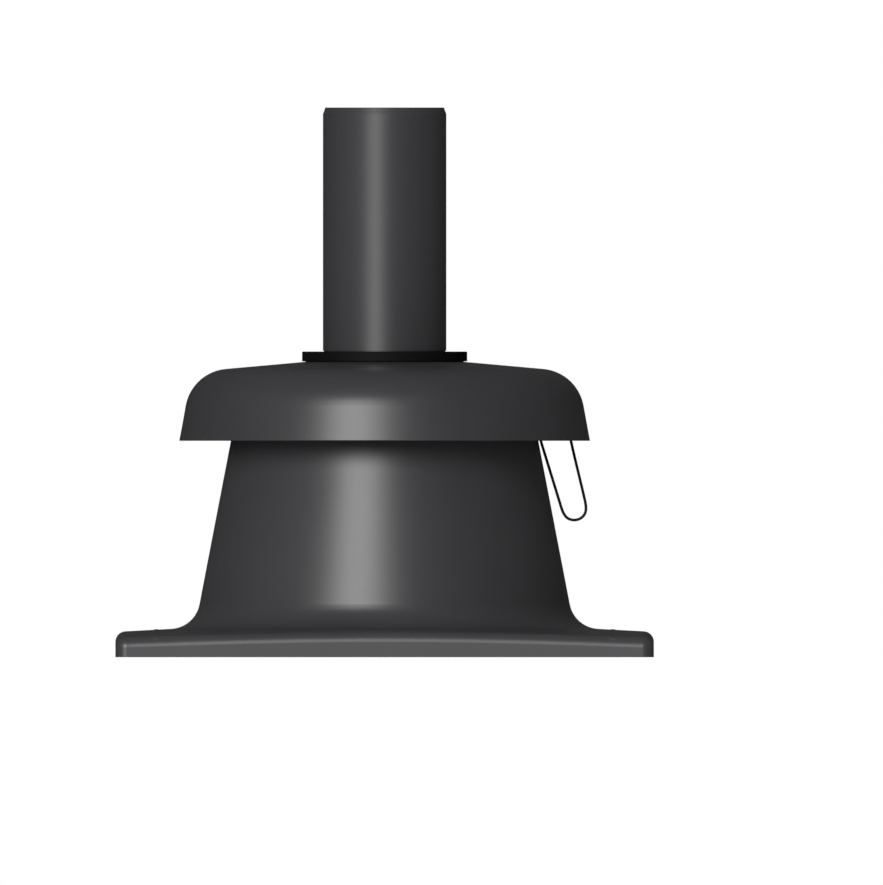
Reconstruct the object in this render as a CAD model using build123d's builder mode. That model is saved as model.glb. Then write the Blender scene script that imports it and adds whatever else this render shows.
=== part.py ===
from build123d import *
import os
from math import atan2, cos, pi, radians, sin, sqrt, tan

# Roof vent terminal for a 110 mm vent pipe: a square flanged flashing with a cone, a rain hood
# that rests on the cone, a vent pipe through the middle, and the rings that guide it.
# Millimetres, +Z up, origin at the middle of the flange's underside. Sections are (r, z).

os.makedirs("parts", exist_ok=True)

# ---- driving dimensions -------------------------------------------------------------------
# square flange
FLANGE_SIDE = 480.0
FLANGE_WALL = 4.0
CORNER_R = 10.0          # vertical corners
EDGE_R = 9.5             # top edge all round
TOP_SLOPE = 0.053        # the flange's top falls 3 degrees away from the cone
TOP_Z_AT_190 = 25.3
SIDE_RIB_X = 203.75      # two stiffening ribs along Y
SIDE_RIB_T = 4.0
SIDE_RIB_PROUD = 0.4     # they follow the flange's top, this much above it
SCREW_XY = 186.0         # countersunk screw pockets
SCREW_HOLE_R = 2.6
SCREW_HEAD_R = 7.6
SCREW_HEAD_ANGLE = 70.0

# cone and collar
CONE_SLOPE = 0.1925      # dr/dz, 10.9 degrees
CONE_R_AT = (137.25, 191.8)
CONE_WALL = 4.3
FOOT_R = 27.0
SHOULDER_Z = 213.4
SHOULDER_EDGE_R = 130.9  # where the shoulder's flat ends and its slope starts
SHOULDER_FOOT_Z = 208.0  # where the slope meets the cone's straight side
COLLAR_R = 128.6         # at the shoulder
RIM_R = 123.7
RIM_Z = 239.8
RIB_T = 4.0
RIBS = 8
LEDGE_Z = 208.0

# rain hood
HOOD_WALL = 4.0
HOOD_SLOPE = 0.0894      # 5.1 degrees
HOOD_TOP_AT = (82.3, 262.3)
HOOD_KNEE_R = 40.0
HOOD_RIM_R = 183.1
HOOD_RIM_Z = 192.9
HOOD_SKIRT_SLOPE = 0.183
HOOD_OPENING_R = 61.9
FIN_T = 3.0
FINS = 8

# vent pipe
PIPE_R = 55.0
PIPE_WALL = 2.7
PIPE_TOP = 490.0
SEAT_R = 54.2            # shallow groove that seats the rubber collar
SEAT_TOP = 273.2
SOCKET_R = 66.7
SOCKET_BOTTOM = 222.0

# rubber collar
COLLAR_TOP = 272.5
COLLAR_SEAT = 269.2
COLLAR_OUT_R = 73.6

# snap sleeve
SLEEVE_IN_R = 60.6
SLEEVE_OUT_R = 63.4
SLEEVE_BOTTOM = 170.8
SLEEVE_TOP = 225.0
BARB_Z = 212.6
BARB_R = 66.4

# tether: the cord's route in the plane y = 0, from the toggle's stem to the hood's boss
CORD_D = 2.5
TOGGLE_R = 1.35
TOGGLE_TOP = (115.9, 222.8)
TOGGLE_BOTTOM = (120.2, 207.4)
STEM_START = (117.2, 218.2)
ROUTE = [
    (127.28, 217.74),
    (130.51, 216.56),
    (133.16, 214.37),
    (135.05, 211.50),
    (137.83, 197.20),
    (159.85, 125.60),
    (167.73, 121.55),
    (176.04, 123.79),
    (180.48, 131.16),
    (176.74, 147.74),
    (169.22, 178.84),
    (165.00, 197.60),
    (161.85, 213.00),
    (160.27, 221.37),
    (161.27, 225.51),
    (163.90, 228.83),
    (167.48, 230.62),
]


def top_z(r):
    """Height of the flange's top surface at radius r."""
    return TOP_Z_AT_190 - TOP_SLOPE * (r - 190.0)


def cone_r(z):
    """Outer radius of the cone at height z."""
    return CONE_R_AT[0] + (CONE_R_AT[1] - z) * CONE_SLOPE


def collar_r(z):
    """Outer radius of the inset collar at height z."""
    return COLLAR_R - (z - SHOULDER_Z) * (COLLAR_R - RIM_R) / (RIM_Z - SHOULDER_Z)


def hood_z(r):
    """Height of the hood's top surface at radius r."""
    return HOOD_TOP_AT[1] - HOOD_SLOPE * (r - HOOD_TOP_AT[0])


def skirt_r(z):
    """Outer radius of the hood's skirt at height z."""
    return HOOD_RIM_R - (z - HOOD_RIM_Z) * HOOD_SKIRT_SLOPE


# ---- base flashing ------------------------------------------------------------------------
# Where the cone's straight side would meet the flange's top, outside and inside.
foot_z = (TOP_Z_AT_190 - TOP_SLOPE * (CONE_R_AT[0] + CONE_R_AT[1] * CONE_SLOPE - 190.0)) / (
    1 - TOP_SLOPE * CONE_SLOPE
)
foot = (cone_r(foot_z), foot_z)
wall_dr = CONE_WALL / cos(atan2(CONE_SLOPE, 1))
wall_dz = FLANGE_WALL / cos(atan2(TOP_SLOPE, 1))
in_foot_z = (
    TOP_Z_AT_190 - wall_dz - TOP_SLOPE * (CONE_R_AT[0] + CONE_R_AT[1] * CONE_SLOPE - wall_dr - 190.0)
) / (1 - TOP_SLOPE * CONE_SLOPE)
in_foot = (cone_r(in_foot_z) - wall_dr, in_foot_z)
in_shoulder_z = SHOULDER_Z - 4.2

# The outer form, solid: the flange's conical top, foot fillet, cone, shoulder, collar and rim,
# trimmed to the square.
with BuildPart() as outer_form:
    with BuildSketch(Plane.XZ):
        with BuildLine():
            FilletPolyline(
                (0, 0),
                (400, 0),
                (400, top_z(400)),
                foot,
                (cone_r(SHOULDER_FOOT_Z), SHOULDER_FOOT_Z),
                (SHOULDER_EDGE_R, SHOULDER_Z),
                (COLLAR_R, SHOULDER_Z),
                (RIM_R, RIM_Z),
                (0, RIM_Z),
                radius=[0, 0, 0, FOOT_R, 6.0, 1.0, 0.4, 0.9, 0],
                close=True,
            )
        make_face()
    revolve(axis=Axis.Z)
    with BuildSketch():
        RectangleRounded(FLANGE_SIDE, FLANGE_SIDE, CORNER_R)
    extrude(amount=300, mode=Mode.INTERSECT)
    fillet(
        outer_form.edges().filter_by(
            lambda e: e.center().Z > 12 and max(abs(e.center().X), abs(e.center().Y)) > FLANGE_SIDE / 2 - 11
        ),
        EDGE_R,
    )

# The hollow: the same form, one wall smaller, open below and at the rim.
with BuildPart() as inner_form:
    with BuildSketch(Plane.XZ):
        with BuildLine():
            FilletPolyline(
                (0, -1),
                (400, -1),
                (400, top_z(400) - wall_dz),
                in_foot,
                (cone_r(in_shoulder_z) - wall_dr, in_shoulder_z),
                (collar_r(in_shoulder_z) - 4.3, in_shoulder_z),
                (collar_r(RIM_Z + 2) - 4.3, RIM_Z + 2),
                (0, RIM_Z + 2),
                radius=[0, 0, 0, FOOT_R + 4.15, 1.0, 0, 0, 0],
                close=True,
            )
        make_face()
    revolve(axis=Axis.Z)
    with BuildSketch(Plane.XY.offset(-1)):
        RectangleRounded(
            FLANGE_SIDE - 2 * FLANGE_WALL, FLANGE_SIDE - 2 * FLANGE_WALL, CORNER_R - FLANGE_WALL
        )
    extrude(amount=300, mode=Mode.INTERSECT)
    fillet(
        inner_form.edges().filter_by(
            lambda e: e.center().Z > 8.2 and max(abs(e.center().X), abs(e.center().Y)) > FLANGE_SIDE / 2 - 11
        ),
        EDGE_R - FLANGE_WALL,
    )

# One radial rib: it carries the support ring on its ledge, and a leg runs down the wall.
with BuildPart() as radial_rib:
    with BuildSketch(Plane.XZ):
        with BuildLine():
            Polyline(
                (88.9, RIM_Z),
                (collar_r(RIM_Z) - 2.1, RIM_Z),
                (collar_r(SHOULDER_Z) - 2.1, SHOULDER_Z - 1),
                (130.5, 211.5),
                (cone_r(205) - 2.2, 205),
                (cone_r(150.2) - 2.2, 150.2),
                (128.9, 150.2),
                (123.6, 177.1),
                (115.8, 177.1),
                (86.8, 192.1),
                (83.0, 192.1),
                (83.0, LEDGE_Z),
                (88.9, LEDGE_Z),
                close=True,
            )
        make_face()
    extrude(amount=RIB_T / 2, both=True)

# Two stiffening ribs: plates under the flange whose tops follow the flange's top.
with BuildPart() as side_ribs:
    with BuildSketch() as side_rib_plan:
        with Locations((SIDE_RIB_X, 0), (-SIDE_RIB_X, 0)):
            Rectangle(SIDE_RIB_T, FLANGE_SIDE - 5.0)
    extrude(amount=60)
    with Locations((0, 0, SIDE_RIB_PROUD)):
        add(outer_form.part, mode=Mode.INTERSECT)
    extrude(side_rib_plan.sketch, amount=8)

# One countersunk pocket's outside: a short dimple under the flange's top.
pocket_top = top_z(SCREW_XY * sqrt(2))
with BuildPart() as pocket_dimple:
    with BuildSketch(Plane.XZ):
        with BuildLine():
            Polyline((0, 11.2), (5.3, 11.2), (10.5, 19.2), (0, 19.2), close=True)
        make_face()
    revolve(axis=Axis.Z)
with BuildPart() as base_flashing:
    add(outer_form.part)
    add(inner_form.part, mode=Mode.SUBTRACT)
    # screw pockets
    with GridLocations(2 * SCREW_XY, 2 * SCREW_XY, 2, 2):
        add(pocket_dimple.part)
    with Locations((0, 0, pocket_top + 0.6)):
        with GridLocations(2 * SCREW_XY, 2 * SCREW_XY, 2, 2):
            CounterSinkHole(SCREW_HOLE_R, SCREW_HEAD_R, depth=16, counter_sink_angle=SCREW_HEAD_ANGLE)
    with PolarLocations(0, RIBS):
        add(radial_rib.part)
    add(side_ribs.part)
    # window in one rib, and a slot through the collar, for the tether's toggle
    with BuildSketch(Plane.XZ):
        with BuildLine():
            Polyline(
                (112.6, 205.2), (112.6, 226.4), (121.2, 226.4), (123.6, 214.5), (123.6, 205.2), close=True
            )
        make_face()
    extrude(amount=RIB_T / 2 + 0.5, both=True, mode=Mode.SUBTRACT)
    with BuildSketch(Plane.YZ.offset(118)):
        with Locations((0, 218.8)):
            SlotOverall(7.0, 3.2, rotation=90)
    extrude(amount=14, mode=Mode.SUBTRACT)
base_flashing.part.label = "base_flashing"
export_step(base_flashing.part, "parts/base_flashing.step")

# ---- rain hood ----------------------------------------------------------------------------
# Where the top's slope and the skirt would meet, outside and inside.
knee_r = (
    HOOD_RIM_R
    - (HOOD_TOP_AT[1] + HOOD_SLOPE * HOOD_TOP_AT[0] - HOOD_RIM_Z) * HOOD_SKIRT_SLOPE
) / (1 - HOOD_SLOPE * HOOD_SKIRT_SLOPE)
knee = (knee_r, hood_z(knee_r))
top_dz = HOOD_WALL / cos(atan2(HOOD_SLOPE, 1))
skirt_dr = HOOD_WALL / cos(atan2(HOOD_SKIRT_SLOPE, 1))
in_knee_r = (
    HOOD_RIM_R
    - skirt_dr
    - (HOOD_TOP_AT[1] - top_dz + HOOD_SLOPE * HOOD_TOP_AT[0] - HOOD_RIM_Z) * HOOD_SKIRT_SLOPE
) / (1 - HOOD_SLOPE * HOOD_SKIRT_SLOPE)
in_knee = (in_knee_r, hood_z(in_knee_r) - top_dz)
flat_r = HOOD_TOP_AT[0] + (HOOD_TOP_AT[1] - top_dz - 259.0) / HOOD_SLOPE

# The space under the middle of the hood's wall, which trims the fins.
with BuildPart() as hood_core:
    with BuildSketch(Plane.XZ):
        with BuildLine():
            FilletPolyline(
                (0, 150),
                (skirt_r(150) - skirt_dr / 2, 150),
                (in_knee[0] + skirt_dr / 2 * 0.98, in_knee[1] + top_dz / 2),
                (0, hood_z(0) - top_dz / 2),
                radius=[0, 0, HOOD_KNEE_R - HOOD_WALL / 2, 0],
                close=True,
            )
        make_face()
    revolve(axis=Axis.Z)

# Eight fins under the hood: each sits on the cone's shoulder and stands round the collar.
with BuildPart() as hood_fins:
    with BuildSketch(Plane.XZ):
        with BuildLine():
            Polyline(
                (117.2, 258.6),
                (118.4, 254.6),
                (124.6, 240.2),
                (129.4, 215.0),
                (129.4, SHOULDER_Z),
                (155.8, SHOULDER_Z),
                (160.8, 215.3),
                (182.0, 227.9),
                (182.0, 262.0),
                (118.0, 262.0),
                close=True,
            )
        make_face()
    extrude(amount=FIN_T / 2, both=True)
    add(hood_core.part, mode=Mode.INTERSECT)

with BuildPart() as rain_hood:
    with BuildSketch(Plane.XZ):
        with BuildLine():
            FilletPolyline(
                (HOOD_OPENING_R, 259.0),
                (HOOD_OPENING_R, COLLAR_SEAT),
                (64.1, COLLAR_SEAT),
                (64.1, 262.2),
                (67.9, 262.2),
                (67.9, COLLAR_SEAT),
                (70.3, COLLAR_SEAT),
                (70.3, hood_z(70.3)),
                knee,
                (HOOD_RIM_R, HOOD_RIM_Z),
                (HOOD_RIM_R - skirt_dr, HOOD_RIM_Z),
                in_knee,
                (flat_r, 259.0),
                radius=[0, 0, 0, 0, 0, 0, 0, 0.5, HOOD_KNEE_R, 0.6, 0.6, HOOD_KNEE_R - HOOD_WALL, 0],
                close=True,
            )
        make_face()
    revolve(axis=Axis.Z)
    with PolarLocations(0, FINS, start_angle=22.5):
        add(hood_fins.part)
    # boss that holds the tether's upper end
    end, before = ROUTE[-1], ROUTE[-2]
    with BuildSketch(
        Plane(
            origin=(end[0], 0, end[1]),
            x_dir=(0, 1, 0),
            z_dir=(end[0] - before[0], 0, end[1] - before[1]),
        )
    ):
        Circle(3.0)
    extrude(amount=5.8)
rain_hood.part.label = "rain_hood"
export_step(rain_hood.part, "parts/rain_hood.step")

# ---- pipe collar seal ---------------------------------------------------------------------
with BuildPart() as pipe_collar_seal:
    with BuildSketch(Plane.XZ):
        with BuildLine():
            FilletPolyline(
                (SEAT_R, COLLAR_SEAT),
                (SEAT_R, COLLAR_TOP),
                (COLLAR_OUT_R, COLLAR_TOP),
                (COLLAR_OUT_R, 263.7),
                (71.0, 263.7),
                (71.0, COLLAR_SEAT),
                (67.8, COLLAR_SEAT),
                (67.8, 262.4),
                (64.2, 262.4),
                (64.2, COLLAR_SEAT),
                radius=[0, 0.5, 1.0, 0.5, 0.5, 0, 0, 0.5, 0.5, 0],
                close=True,
            )
        make_face()
    revolve(axis=Axis.Z)
pipe_collar_seal.part.label = "pipe_collar_seal"
export_step(pipe_collar_seal.part, "parts/pipe_collar_seal.step")

# ---- vent pipe ----------------------------------------------------------------------------
with BuildPart() as vent_pipe:
    with BuildSketch(Plane.XZ):
        with BuildLine():
            Polyline(
                (PIPE_R - PIPE_WALL, PIPE_TOP),
                (52.9, PIPE_TOP),
                (PIPE_R, 484.2),
                (PIPE_R, SEAT_TOP),
                (SEAT_R, SEAT_TOP),
                (SEAT_R, COLLAR_SEAT),
                (PIPE_R, COLLAR_SEAT),
                (PIPE_R, 252.6),
                (60.6, 252.6),
                (SOCKET_R, 246.5),
                (SOCKET_R, 225.2),
                (67.6, 224.3),
                (67.6, SOCKET_BOTTOM),
                (64.8, SOCKET_BOTTOM),
                (64.8, 234.6),
                (65.2, 234.8),
                (65.2, 242.6),
                (64.8, 242.8),
                (64.8, 245.7),
                (59.8, 250.7),
                (51.8, 250.7),
                (51.8, 236.6),
                (50.0, 236.6),
                (50.0, 250.8),
                (PIPE_R - PIPE_WALL, 253.2),
                close=True,
            )
        make_face()
    revolve(axis=Axis.Z)
vent_pipe.part.label = "vent_pipe"
export_step(vent_pipe.part, "parts/vent_pipe.step")

# ---- socket seal --------------------------------------------------------------------------
# Heel in the socket's groove, a short stem, and two lips that point at the incoming pipe.
with BuildPart() as socket_seal:
    with BuildSketch(Plane.XZ):
        with BuildLine():
            Polyline(
                (65.2, 235.0),
                (65.2, 242.4),
                (63.4, 243.1),
                (62.2, 242.0),
                (60.8, 240.6),
                (57.5, 240.4),
                (54.2, 243.0),
                (53.1, 242.4),
                (56.3, 238.9),
                (56.3, 238.2),
                (52.4, 234.4),
                (53.0, 233.5),
                (57.6, 237.0),
                (60.8, 237.0),
                (62.2, 235.6),
                (63.4, 234.2),
                close=True,
            )
        make_face()
    revolve(axis=Axis.Z)
socket_seal.part.label = "socket_seal"
export_step(socket_seal.part, "parts/socket_seal.step")

# ---- snap sleeve --------------------------------------------------------------------------
with BuildPart() as sleeve_slot:
    with BuildSketch(Plane.YZ.offset(56)):
        with BuildLine():
            Polyline((-1.8, 204.7), (1.8, 204.7), (3.1, 226.0), (-3.1, 226.0), close=True)
        make_face()
    extrude(amount=14)

with BuildPart() as snap_sleeve:
    with BuildSketch(Plane.XZ):
        with BuildLine():
            Polyline(
                (SLEEVE_IN_R, SLEEVE_BOTTOM),
                (SLEEVE_OUT_R, SLEEVE_BOTTOM),
                (SLEEVE_OUT_R, 198.0),
                (65.2, 198.6),
                (65.2, 199.8),
                (SLEEVE_OUT_R, 200.4),
                (SLEEVE_OUT_R, BARB_Z),
                (BARB_R, BARB_Z),
                (BARB_R, 213.2),
                (61.3, SLEEVE_TOP),
                (SLEEVE_IN_R, SLEEVE_TOP),
                close=True,
            )
        make_face()
    revolve(axis=Axis.Z)
    # sixteen slots: every 18 degrees, but not on the four axes
    with Locations(*[Location((0, 0, 0), (0, 0, 18 * k)) for k in range(20) if k % 5]):
        add(sleeve_slot.part, mode=Mode.SUBTRACT)
snap_sleeve.part.label = "snap_sleeve"
export_step(snap_sleeve.part, "parts/snap_sleeve.step")

# ---- sleeve bushing -----------------------------------------------------------------------
# Clipped in the support ring's plate: a flange above, a snap bead below.
with BuildPart() as sleeve_bushing:
    with BuildSketch(Plane.XZ):
        with BuildLine():
            Polyline(
                (65.1, BARB_Z),
                (68.6, BARB_Z),
                (68.6, 210.4),
                (67.2, 210.4),
                (67.2, 206.6),
                (69.3, 205.2),
                (69.3, 203.4),
                (68.6, 202.7),
                (66.5, 202.7),
                (66.5, 205.8),
                (65.1, 207.0),
                close=True,
            )
        make_face()
    revolve(axis=Axis.Z)
sleeve_bushing.part.label = "sleeve_bushing"
export_step(sleeve_bushing.part, "parts/sleeve_bushing.step")

# ---- support ring -------------------------------------------------------------------------
# Z section: an outer flange on the ribs' ledges, a leg, a foot, and a windowed plate inside.
with BuildPart() as window_cutter:
    with BuildSketch(Plane.XY.offset(206.5)):
        with BuildLine():
            CenterArc((0, 0), 75.0, -14, 28)
            CenterArc((0, 0), 69.6, -14, 28)
            Line(
                (75.0 * cos(radians(-14)), 75.0 * sin(radians(-14))),
                (69.6 * cos(radians(-14)), 69.6 * sin(radians(-14))),
            )
            Line(
                (75.0 * cos(radians(14)), 75.0 * sin(radians(14))),
                (69.6 * cos(radians(14)), 69.6 * sin(radians(14))),
            )
        make_face()
    extrude(amount=5)

with BuildPart() as support_ring:
    with BuildSketch(Plane.XZ):
        with BuildLine():
            FilletPolyline(
                (88.1, LEDGE_Z),
                (88.1, 210.2),
                (75.3, 210.4),
                (67.6, 210.4),
                (67.6, LEDGE_Z),
                (75.3, LEDGE_Z),
                (75.3, 197.4),
                (68.0, 197.4),
                (66.7, 196.6),
                (66.7, 188.8),
                (68.0, 188.8),
                (68.4, 192.4),
                (77.0, 192.4),
                (77.0, LEDGE_Z),
                radius=[0.4, 0.4, 0, 0, 0, 0, 0, 0, 0, 0, 0, 0, 0.6, 0.6],
                close=True,
            )
        make_face()
    revolve(axis=Axis.Z)
    with PolarLocations(0, 8):
        add(window_cutter.part, mode=Mode.SUBTRACT)
support_ring.part.label = "support_ring"
export_step(support_ring.part, "parts/support_ring.step")

# ---- tether -------------------------------------------------------------------------------
bar_dir = (TOGGLE_BOTTOM[0] - TOGGLE_TOP[0], 0, TOGGLE_BOTTOM[1] - TOGGLE_TOP[1])
bar_len = sqrt(bar_dir[0] ** 2 + bar_dir[2] ** 2)
# the stem leaves in line with the cord's first run
stem_knee = (
    ROUTE[0][0] - 0.52 * (ROUTE[1][0] - ROUTE[0][0]),
    0,
    ROUTE[0][1] - 0.52 * (ROUTE[1][1] - ROUTE[0][1]),
)

# T end: a short bar behind the wall, and the stem that leads out through the slot
with BuildPart() as tether_toggle:
    with BuildSketch(Plane(origin=(TOGGLE_TOP[0], 0, TOGGLE_TOP[1]), x_dir=(0, 1, 0), z_dir=bar_dir)):
        Circle(TOGGLE_R)
    extrude(amount=bar_len)
    fillet(tether_toggle.edges().filter_by(GeomType.CIRCLE), 0.8)
    with BuildLine() as stem_path:
        FilletPolyline((STEM_START[0], 0, STEM_START[1]), stem_knee, (ROUTE[0][0], 0, ROUTE[0][1]), radius=8)
    with BuildSketch(
        Plane(origin=(STEM_START[0], 0, STEM_START[1]), x_dir=(0, 1, 0), z_dir=stem_path.line % 0)
    ):
        Circle(CORD_D / 2)
    sweep(path=stem_path.line)
tether_toggle.part.label = "tether_toggle"
export_step(tether_toggle.part, "parts/tether_toggle.step")

# free cord: straight runs joined by tangent arcs, each as large as its runs allow
points = [Vector(r, 0, z) for r, z in ROUTE]
runs = [(b - a).length for a, b in zip(points, points[1:])]
turns = [
    (points[i] - points[i - 1]).get_angle(points[i + 1] - points[i]) for i in range(1, len(points) - 1)
]
radii = [
    0.45 * min(runs[i], runs[i + 1]) / tan(radians(turn) / 2) for i, turn in enumerate(turns)
]
print("cord runs", [round(r, 1) for r in runs], "sum", round(sum(runs), 1))
print("cord turns", [round(t, 1) for t in turns])
print("cord radii", [round(r, 1) for r in radii])

with BuildPart() as tether_cord:
    with BuildLine() as cord_path:
        FilletPolyline(*points, radius=radii)
    with BuildSketch(Plane(origin=points[0], x_dir=(0, 1, 0), z_dir=points[1] - points[0])):
        Circle(CORD_D / 2)
    sweep(path=cord_path.line)
tether_cord.part.label = "tether_cord"
export_step(tether_cord.part, "parts/tether_cord.step")

cord_length = sum(edge.length for edge in cord_path.edges())
print(
    "cord length", round(cord_length, 1),
    "volume", round(tether_cord.part.volume, 1),
    "section times length", round(pi * (CORD_D / 2) ** 2 * cord_length, 1),
)
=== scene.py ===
from math import cos, pi, radians, sin

import bpy
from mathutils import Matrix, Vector


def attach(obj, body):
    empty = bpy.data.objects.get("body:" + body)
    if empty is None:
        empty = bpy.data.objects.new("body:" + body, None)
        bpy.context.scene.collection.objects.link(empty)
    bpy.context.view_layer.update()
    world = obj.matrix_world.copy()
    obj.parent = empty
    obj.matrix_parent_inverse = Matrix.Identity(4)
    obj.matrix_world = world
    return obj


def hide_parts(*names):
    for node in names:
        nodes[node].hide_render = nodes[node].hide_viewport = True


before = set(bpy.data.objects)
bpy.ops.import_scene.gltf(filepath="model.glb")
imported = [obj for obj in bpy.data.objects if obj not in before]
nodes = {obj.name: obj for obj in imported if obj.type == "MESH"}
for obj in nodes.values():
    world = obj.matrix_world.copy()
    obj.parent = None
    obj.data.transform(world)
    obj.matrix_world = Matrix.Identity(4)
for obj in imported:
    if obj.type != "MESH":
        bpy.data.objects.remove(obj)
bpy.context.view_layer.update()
scene = bpy.context.scene

# ---- camera: straight at the front, parallel projection -------------------------------------
MM_PER_PX = 0.8914
camera_data = bpy.data.cameras.new("front_camera")
camera_data.type = "ORTHO"
camera_data.ortho_scale = 885 * MM_PER_PX / 1000
camera_data.clip_end = 50
camera = bpy.data.objects.new("front_camera", camera_data)
camera.location = (0.0507, -3.0, 0.1914)
camera.rotation_euler = (radians(90), 0, 0)
scene.collection.objects.link(camera)
scene.camera = camera
scene.view_settings.view_transform = "Standard"

# ---- tether ---------------------------------------------------------------------------------
# Route in the plane y = 0, from the toggle's stem to the hood's boss, in millimetres.
CORD_D = 0.0025
ROUTE = [
    (127.28, 217.74),
    (130.51, 216.56),
    (133.16, 214.37),
    (135.05, 211.50),
    (137.83, 197.20),
    (144.98, 174.00),
    (154.88, 141.90),
    (159.85, 125.60),
    (167.73, 121.55),
    (176.04, 123.79),
    (180.48, 131.16),
    (176.74, 147.74),
    (169.22, 178.84),
    (165.00, 197.60),
    (161.85, 213.00),
    (160.27, 221.37),
    (161.27, 225.51),
    (163.90, 228.83),
    (167.48, 230.62),
]
cord_curve = bpy.data.curves.new("tether", "CURVE")
cord_curve.dimensions = "3D"
cord_curve.bevel_depth = 1.0
cord_curve.bevel_resolution = 6
cord_curve.resolution_u = 10
cord_curve.use_fill_caps = True
spline = cord_curve.splines.new("NURBS")
spline.points.add(len(ROUTE) - 1)
for point, (x, z) in zip(spline.points, ROUTE):
    point.co = (x / 1000, 0, z / 1000, 1)
    point.radius = CORD_D / 2
spline.order_u = 3
spline.use_endpoint_u = True
spline.use_smooth = True
tether = bpy.data.objects.new("tether", cord_curve)
scene.collection.objects.link(tether)
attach(tether, "root")
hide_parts("tether_cord")


# ---- materials ------------------------------------------------------------------------------
class Tree:
    """A small helper round one material's node tree."""

    def __init__(self, name):
        self.material = bpy.data.materials.new(name)
        self.material.use_nodes = True
        self.nodes = self.material.node_tree.nodes
        self.links = self.material.node_tree.links
        self.nodes.clear()
        self.out = self.nodes.new("ShaderNodeOutputMaterial")
        self.bsdf = self.nodes.new("ShaderNodeBsdfPrincipled")
        self.links.new(self.bsdf.outputs["BSDF"], self.out.inputs["Surface"])
        self.place = self.nodes.new("ShaderNodeTexCoord").outputs["Object"]

    def noise(self, scale, detail=2.0, rough=0.5, stretch=None):
        place = self.place
        if stretch:
            mapping = self.nodes.new("ShaderNodeMapping")
            mapping.inputs["Scale"].default_value = stretch
            self.links.new(place, mapping.inputs["Vector"])
            place = mapping.outputs["Vector"]
        n = self.nodes.new("ShaderNodeTexNoise")
        n.inputs["Scale"].default_value = scale
        n.inputs["Detail"].default_value = detail
        n.inputs["Roughness"].default_value = rough
        self.links.new(place, n.inputs["Vector"])
        return n.outputs["Fac"]

    def span(self, value, low, high, start=0.25, stop=0.75):
        r = self.nodes.new("ShaderNodeMapRange")
        r.inputs["From Min"].default_value = start
        r.inputs["From Max"].default_value = stop
        r.inputs["To Min"].default_value = low
        r.inputs["To Max"].default_value = high
        self.links.new(value, r.inputs["Value"])
        return r.outputs["Result"]

    def colours(self, value, low, high, start=0.3, stop=0.7):
        ramp = self.nodes.new("ShaderNodeValToRGB")
        ramp.color_ramp.elements[0].position = start
        ramp.color_ramp.elements[0].color = (*low, 1)
        ramp.color_ramp.elements[1].position = stop
        ramp.color_ramp.elements[1].color = (*high, 1)
        self.links.new(value, ramp.inputs["Fac"])
        return ramp.outputs["Color"]

    def bump(self, value, distance, strength, onto=None):
        b = self.nodes.new("ShaderNodeBump")
        b.inputs["Distance"].default_value = distance
        b.inputs["Strength"].default_value = strength
        self.links.new(value, b.inputs["Height"])
        if onto:
            self.links.new(onto, b.inputs["Normal"])
        return b.outputs["Normal"]

    def put(self, **sockets):
        for name, value in sockets.items():
            socket = self.bsdf.inputs[name.replace("_", " ")]
            if isinstance(value, bpy.types.NodeSocket):
                self.links.new(value, socket)
            else:
                socket.default_value = value
        return self.material


def moulded(name, colour, rough=0.37, specular=0.40, grain=0.10, stretch=None):
    """Satin moulded plastic: faint flow in the colour, fine grain in gloss and relief."""
    t = Tree(name)
    flow = t.noise(14, 3, 0.55, stretch)
    speck = t.noise(900, 2, 0.6, stretch)
    relief = t.noise(1400, 2, 0.5, stretch)
    wave = t.noise(45, 2, 0.5, stretch)
    low = tuple(c * 0.95 for c in colour)
    high = tuple(c * 1.05 for c in colour)
    t.bsdf.inputs["Specular IOR Level"].default_value = specular
    first = t.bump(wave, 0.00006, 0.12)
    return t.put(
        Base_Color=t.colours(flow, low, high),
        Roughness=t.span(speck, rough - 0.02, rough + 0.03),
        Normal=t.bump(relief, 0.00004, grain, first),
    )


def rubber(name, colour, rough=0.62, specular=0.22):
    """Matt rubber: dusty tone over a darker body, and a fine soft relief."""
    t = Tree(name)
    dust = t.noise(60, 4, 0.6)
    pore = t.noise(1100, 2, 0.6)
    low = tuple(c * 0.85 for c in colour)
    high = tuple(c * 1.2 for c in colour)
    t.bsdf.inputs["Specular IOR Level"].default_value = specular
    return t.put(
        Base_Color=t.colours(dust, low, high),
        Roughness=t.span(pore, rough - 0.05, rough + 0.08),
        Normal=t.bump(pore, 0.00006, 0.25),
    )


def white_gloss(name, colour):
    """Smooth white plastic with a little light carried inside it."""
    t = Tree(name)
    flow = t.noise(10, 2, 0.5)
    fine = t.noise(700, 2, 0.5)
    t.bsdf.inputs["Specular IOR Level"].default_value = 0.45
    t.bsdf.inputs["Subsurface Weight"].default_value = 0.08
    t.bsdf.inputs["Subsurface Scale"].default_value = 0.002
    return t.put(
        Base_Color=t.colours(flow, tuple(c * 0.97 for c in colour), colour),
        Roughness=t.span(fine, 0.24, 0.30),
        Normal=t.bump(fine, 0.00003, 0.1),
    )


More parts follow.
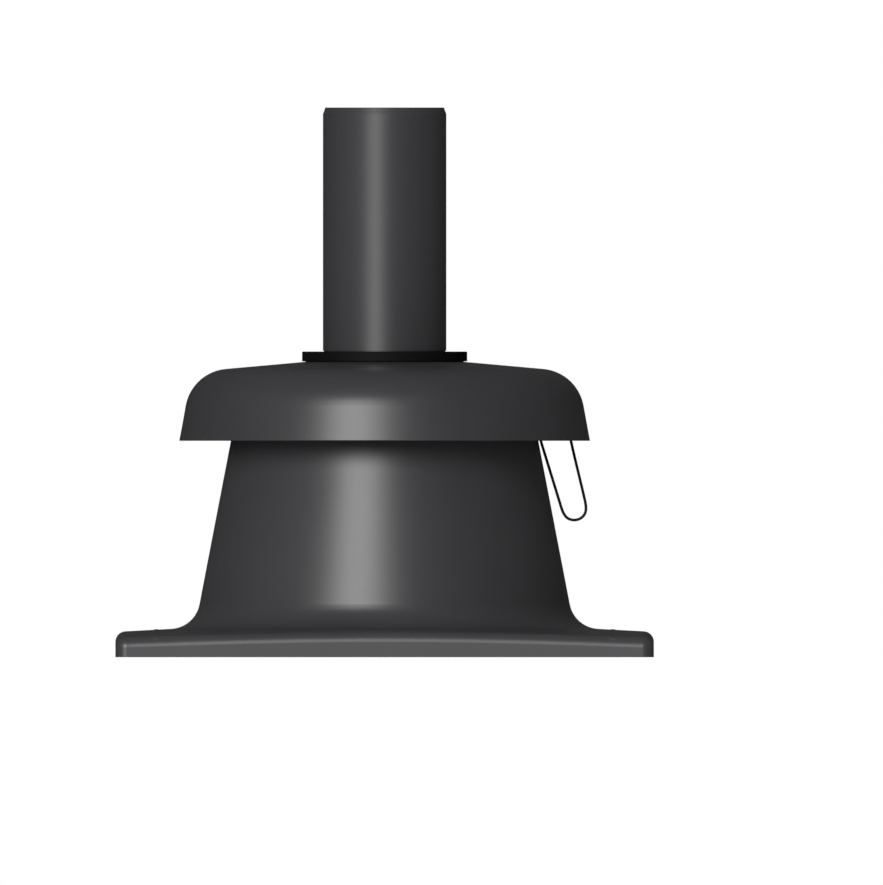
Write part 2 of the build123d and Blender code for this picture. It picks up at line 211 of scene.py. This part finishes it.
FINISHES = {
    "base_flashing": moulded("flashing_plastic", (0.0262, 0.0262, 0.0280)),
    "rain_hood": moulded("hood_plastic", (0.0232, 0.0232, 0.0249)),
    "vent_pipe": moulded("pipe_plastic", (0.0240, 0.0240, 0.0257), stretch=(1, 1, 0.08), grain=0.06),
    "pipe_collar_seal": rubber("collar_rubber", (0.0022, 0.0022, 0.0020), 0.66, 0.09),
    "socket_seal": rubber("seal_rubber", (0.22, 0.080, 0.024), 0.5, 0.3),
    "snap_sleeve": white_gloss("sleeve_plastic", (0.84, 0.85, 0.88)),
    "sleeve_bushing": moulded("bushing_plastic", (0.10, 0.10, 0.105), 0.38),
    "support_ring": moulded("ring_plastic", (0.085, 0.085, 0.09), 0.38),
    "tether_toggle": rubber("tether_rubber", (0.003, 0.003, 0.003), 0.5, 0.14),
}
for name, material in FINISHES.items():
    slots = nodes[name].data.materials
    slots.clear()
    slots.append(material)
cord_curve.materials.append(FINISHES["tether_toggle"])

# ---- floor and light ------------------------------------------------------------------------
floor_mesh = bpy.data.meshes.new("floor")
FLOOR_Z = -0.0001
floor_mesh.from_pydata(
    [(-6, -6, FLOOR_Z), (6, -6, FLOOR_Z), (6, 6, FLOOR_Z), (-6, 6, FLOOR_Z)], [], [(0, 1, 2, 3)]
)
floor = bpy.data.objects.new("floor", floor_mesh)
scene.collection.objects.link(floor)
pale = Tree("floor_pale")
floor_mesh.materials.append(
    pale.put(
        Base_Color=pale.colours(pale.noise(3, 2), (0.78, 0.78, 0.78), (0.82, 0.82, 0.82)),
        Roughness=0.9,
    )
)
floor.visible_glossy = False


def far_light(name, azimuth, elevation, strength, width, in_gloss=True):
    """A broad light a long way off: azimuth is round from the camera's side, to the right."""
    light = bpy.data.lights.new(name, "SUN")
    light.energy = strength
    light.angle = radians(width)
    lamp = bpy.data.objects.new(name, light)
    a, e = radians(azimuth), radians(elevation)
    towards = Vector((sin(a) * cos(e), -cos(a) * cos(e), sin(e)))
    lamp.rotation_euler = towards.to_track_quat("Z", "Y").to_euler()
    lamp.location = towards * 4
    lamp.visible_glossy = in_gloss
    scene.collection.objects.link(lamp)
    return lamp


far_light("key", -18, 18, 3.3, 30)
far_light("overhead", 0, 84, 0.8, 60, False)
far_light("fill", -40, 3, 1.5, 70, False)
far_light("behind", 180, 40, 1.6, 45, False)

world = bpy.data.worlds.new("studio")
world.use_nodes = True
scene.world = world
wn, wl = world.node_tree.nodes, world.node_tree.links
wn.clear()
world_out = wn.new("ShaderNodeOutputWorld")
path = wn.new("ShaderNodeLightPath")
seen = wn.new("ShaderNodeBackground")
seen.inputs["Color"].default_value = (1, 1, 1, 1)
seen.inputs["Strength"].default_value = 1.0
soft = wn.new("ShaderNodeBackground")
soft.inputs["Color"].default_value = (0.98, 0.99, 1, 1)
soft.inputs["Strength"].default_value = 0.35
gloss = wn.new("ShaderNodeBackground")
gloss.inputs["Color"].default_value = (0.98, 0.99, 1, 1)
gloss.inputs["Strength"].default_value = 0.04
inner = wn.new("ShaderNodeMixShader")
outer = wn.new("ShaderNodeMixShader")
wl.new(path.outputs["Is Glossy Ray"], inner.inputs["Fac"])
wl.new(soft.outputs["Background"], inner.inputs[1])
wl.new(gloss.outputs["Background"], inner.inputs[2])
wl.new(path.outputs["Is Camera Ray"], outer.inputs["Fac"])
wl.new(inner.outputs["Shader"], outer.inputs[1])
wl.new(seen.outputs["Background"], outer.inputs[2])
wl.new(outer.outputs["Shader"], world_out.inputs["Surface"])

# ---- refresh the view layer -----------------------------------------------------------------
bpy.context.view_layer.update()
